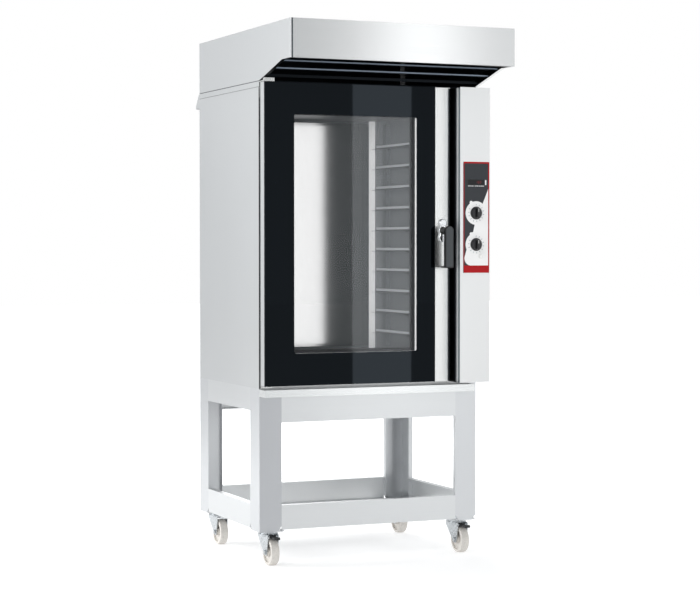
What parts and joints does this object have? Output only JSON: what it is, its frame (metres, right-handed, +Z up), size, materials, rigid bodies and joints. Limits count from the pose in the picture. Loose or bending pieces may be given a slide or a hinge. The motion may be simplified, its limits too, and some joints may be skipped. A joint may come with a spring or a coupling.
{
  "type": "convection oven",
  "caption": "Bakery convection oven for 600 by 400 mm trays with a glazed side-hung door, on an open stand with castors, under a slatted canopy hood.",
  "frame": {"origin": "on the floor under the middle of the whole object's box", "axes": "+Z up, +X to the right seen from the front, the door faces -Y"},
  "size_m": [0.9, 1.026, 2.048],
  "materials": {
    "casing_steel": "satin sheet steel, light grey",
    "bright_steel": "brushed stainless steel",
    "stand_steel": "brushed stainless steel, folded and welded",
    "cavity_steel": "stainless steel in shade",
    "zinc": "bright zinc plate",
    "chrome": "polished chrome",
    "nylon": "warm grey nylon, matt",
    "pedal_black": "black plastic",
    "lever_grey": "dark grey satin paint",
    "knob_black": "fine matt black",
    "button_white": "white gloss",
    "plate_print": "printed dark grey film with white and red fields",
    "display_black": "black window with red digits",
    "switch_black": "moulded black",
    "dark_glass": "tinted glass with a black printed border",
    "clear_glass": "clear glass",
    "lamp_glass": "clear pressed glass",
    "seal": "black silicone",
    "wool": "mineral wool",
    "heater": "dark oxidised tube",
    "motor": "bare housing",
    "brass": "plain brass"
  },
  "bodies": {
    "oven": {"stand_leg_front_left": "stand_steel", "stand_leg_front_right": "stand_steel", "stand_leg_rear_left": "stand_steel", "stand_leg_rear_right": "stand_steel", "stand_top_rails": "stand_steel", "stand_low_rails": "stand_steel", "castor_gussets": "stand_steel", "castor_tops": "zinc", "side_panel_left": "casing_steel", "side_panel_right": "casing_steel", "back_panel": "casing_steel", "top_panel": "casing_steel", "base_pan": "casing_steel", "front_frame": "bright_steel", "cavity_liner": "cavity_steel", "insulation": "wool", "door_seal": "seal", "fan_baffle": "cavity_steel", "air_strips": "bright_steel", "rack_left": "cavity_steel", "rack_right": "cavity_steel", "heating_elements": "heater", "fan_motors": "motor", "cavity_lamp": "lamp_glass", "hood_shell": "bright_steel", "hood_slats": "bright_steel", "exhaust_collar": "casing_steel", "rear_cowl": "casing_steel", "drip_gutter": "bright_steel", "control_column": "bright_steel", "control_plate": "plate_print", "display": "display_black", "control_switches": "switch_black", "latch_keeper": "bright_steel", "door_hinges": "bright_steel", "water_inlet": "brass", "cable_gland": "switch_black"},
    "door": {"door_frame": "casing_steel", "door_back_panel": "casing_steel", "door_outer_glass": "dark_glass", "door_inner_glass": "clear_glass", "door_edge_profile": "bright_steel", "handle_rosette": "chrome"},
    "handle": {"door_handle": "lever_grey", "latch_cam": "zinc"},
    "fan_upper": {"upper_fan": "cavity_steel"},
    "fan_lower": {"lower_fan": "cavity_steel"},
    "knob_temperature": {"temperature_knob": "knob_black"},
    "knob_timer": {"timer_knob": "knob_black"},
    "button": {"steam_button": "button_white"},
    "castor_fl": {"castor_fork_fl": "zinc"},
    "wheel_fl": {"castor_wheel_fl": "nylon"},
    "castor_fr": {"castor_fork_fr": "zinc"},
    "wheel_fr": {"castor_wheel_fr": "nylon"},
    "castor_rl": {"castor_fork_rl": "zinc"},
    "wheel_rl": {"castor_wheel_rl": "nylon"},
    "castor_rr": {"castor_fork_rr": "zinc"},
    "wheel_rr": {"castor_wheel_rr": "nylon"},
    "pedal_fl": {"castor_brake_fl": "pedal_black"},
    "pedal_fr": {"castor_brake_fr": "pedal_black"}
  },
  "joints": [
    {"name": "door_swing", "type": "hinge", "parent": "oven", "child": "door", "pos_m": [-0.435, -0.241, 1.236], "axis": [0, 0, -1], "range_deg": [0, 110]},
    {"name": "handle_turn", "type": "hinge", "parent": "door", "child": "handle", "pos_m": [0.277, -0.256, 1.252], "axis": [0, 1, 0], "range_deg": [0, 90]},
    {"name": "temperature_turn", "type": "hinge", "parent": "oven", "child": "knob_temperature", "pos_m": [0.3905, -0.318, 1.319], "axis": [0, 1, 0], "range_deg": [0, 300]},
    {"name": "timer_turn", "type": "hinge", "parent": "oven", "child": "knob_timer", "pos_m": [0.3905, -0.318, 1.199], "axis": [0, 1, 0], "range_deg": [0, 320]},
    {"name": "steam_press", "type": "slide", "parent": "oven", "child": "button", "axis": [0, 1, 0], "range_m": [0, 0.0025], "stiffness_N_per_m": 500},
    {"name": "upper_fan_spin", "type": "hinge", "parent": "oven", "child": "fan_upper", "pos_m": [-0.076, 0.329, 1.46885], "axis": [0, 1, 0], "continuous": true},
    {"name": "lower_fan_spin", "type": "hinge", "parent": "oven", "child": "fan_lower", "pos_m": [-0.076, 0.329, 1.00695], "axis": [0, 1, 0], "continuous": true},
    {"name": "swivel_fl", "type": "hinge", "parent": "oven", "child": "castor_fl", "pos_m": [-0.395, -0.146, 0.112], "axis": [0, 0, 1], "continuous": true},
    {"name": "roll_fl", "type": "hinge", "parent": "castor_fl", "child": "wheel_fl", "pos_m": [-0.395, -0.176, 0.05], "axis": [1, 0, 0], "continuous": true},
    {"name": "swivel_fr", "type": "hinge", "parent": "oven", "child": "castor_fr", "pos_m": [0.395, -0.146, 0.112], "axis": [0, 0, 1], "continuous": true},
    {"name": "roll_fr", "type": "hinge", "parent": "castor_fr", "child": "wheel_fr", "pos_m": [0.395, -0.176, 0.05], "axis": [1, 0, 0], "continuous": true},
    {"name": "swivel_rl", "type": "hinge", "parent": "oven", "child": "castor_rl", "pos_m": [-0.395, 0.414, 0.112], "axis": [0, 0, 1], "continuous": true},
    {"name": "roll_rl", "type": "hinge", "parent": "castor_rl", "child": "wheel_rl", "pos_m": [-0.395, 0.384, 0.05], "axis": [1, 0, 0], "continuous": true},
    {"name": "swivel_rr", "type": "hinge", "parent": "oven", "child": "castor_rr", "pos_m": [0.395, 0.414, 0.112], "axis": [0, 0, 1], "continuous": true},
    {"name": "roll_rr", "type": "hinge", "parent": "castor_rr", "child": "wheel_rr", "pos_m": [0.395, 0.384, 0.05], "axis": [1, 0, 0], "continuous": true},
    {"name": "brake_fl", "type": "hinge", "parent": "castor_fl", "child": "pedal_fl", "pos_m": [-0.395, -0.192, 0.109], "axis": [1, 0, 0], "range_deg": [0, 14]},
    {"name": "brake_fr", "type": "hinge", "parent": "castor_fr", "child": "pedal_fr", "pos_m": [0.395, -0.192, 0.109], "axis": [1, 0, 0], "range_deg": [0, 14]}
  ]
}
